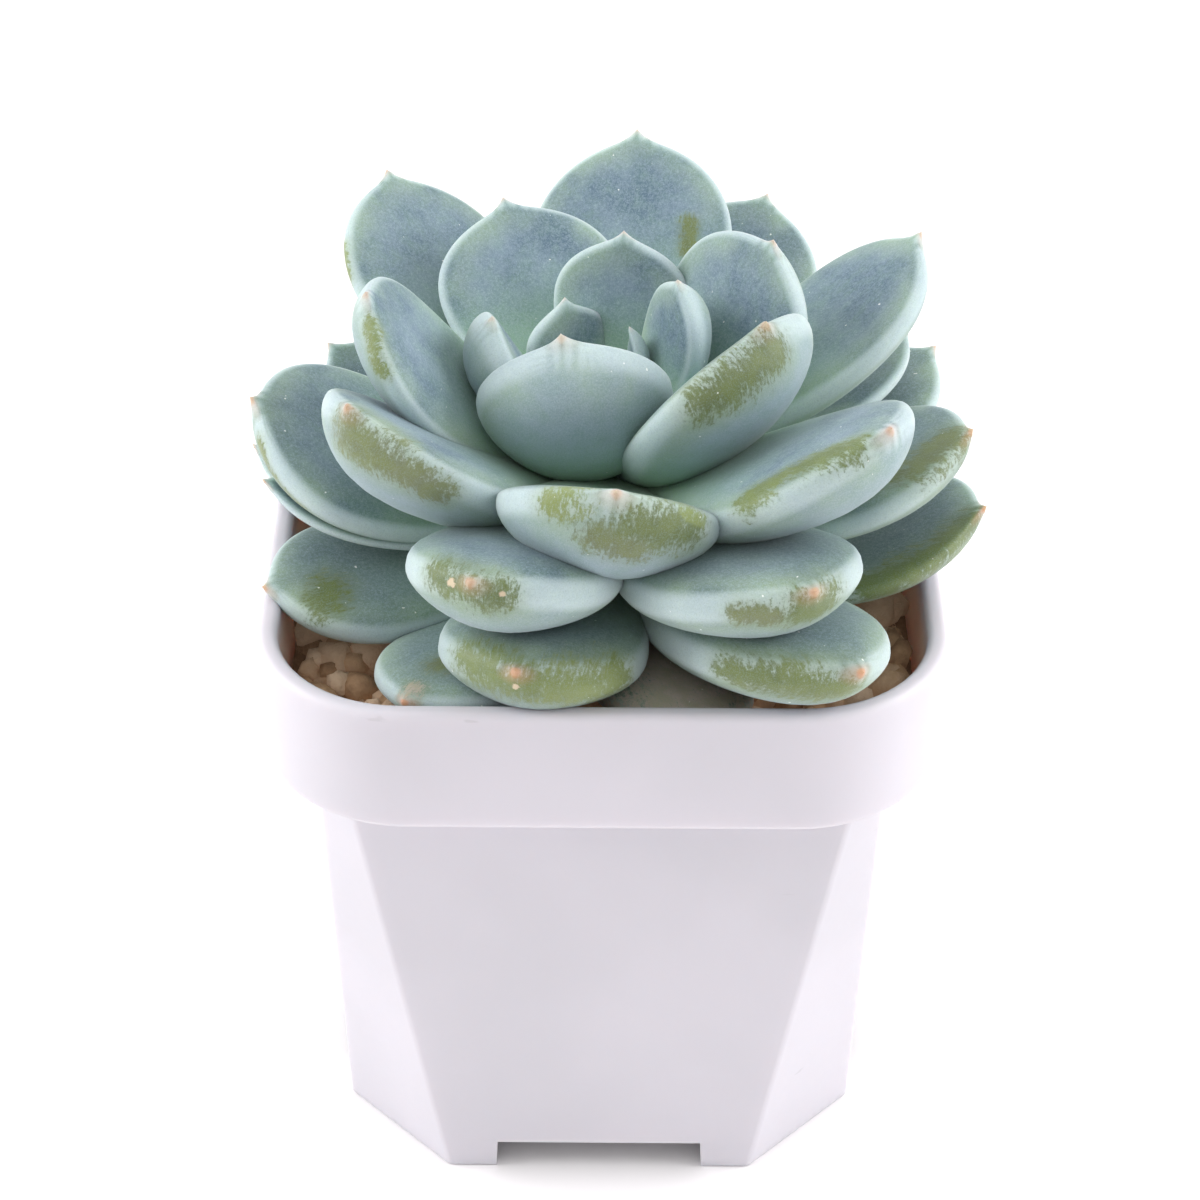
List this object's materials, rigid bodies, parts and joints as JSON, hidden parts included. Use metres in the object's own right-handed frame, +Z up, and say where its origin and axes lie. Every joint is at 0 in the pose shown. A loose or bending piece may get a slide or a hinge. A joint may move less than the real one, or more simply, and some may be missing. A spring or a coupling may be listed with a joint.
{
  "type": "potted succulent",
  "caption": "Potted rosette succulent with thick blue-green leaves, in grit, in a square white plastic pot with a wide collar and cut corners.",
  "frame": {"origin": "middle of the pot's underside, on the surface the pot stands on", "axes": "+Z up; -Y is the front of the pot, +X its right side; the pot is square to X and Y"},
  "size_m": [0.082, 0.0798, 0.1078],
  "materials": {
    "pot_plastic": "satin",
    "soil_grit": "matte",
    "stem_bark": "matte",
    "leaf_skin": "satin"
  },
  "bodies": {
    "root": {"pot": "pot_plastic", "soil": "soil_grit", "stem": "stem_bark", "leaf_01": "leaf_skin", "leaf_02": "leaf_skin", "leaf_03": "leaf_skin", "leaf_04": "leaf_skin", "leaf_05": "leaf_skin", "leaf_06": "leaf_skin", "leaf_07": "leaf_skin", "leaf_08": "leaf_skin", "leaf_09": "leaf_skin", "leaf_10": "leaf_skin", "leaf_11": "leaf_skin", "leaf_12": "leaf_skin", "leaf_13": "leaf_skin", "leaf_14": "leaf_skin", "leaf_15": "leaf_skin", "leaf_16": "leaf_skin", "leaf_17": "leaf_skin", "leaf_18": "leaf_skin", "leaf_19": "leaf_skin", "leaf_20": "leaf_skin", "leaf_21": "leaf_skin", "leaf_22": "leaf_skin", "leaf_23": "leaf_skin", "leaf_24": "leaf_skin", "leaf_25": "leaf_skin", "leaf_26": "leaf_skin", "leaf_27": "leaf_skin", "leaf_28": "leaf_skin", "leaf_29": "leaf_skin", "leaf_30": "leaf_skin", "leaf_31": "leaf_skin", "leaf_32": "leaf_skin", "leaf_33": "leaf_skin", "leaf_34": "leaf_skin", "leaf_35": "leaf_skin", "leaf_36": "leaf_skin", "leaf_37": "leaf_skin", "leaf_38": "leaf_skin", "leaf_39": "leaf_skin", "leaf_40": "leaf_skin"}
  },
  "joints": []
}
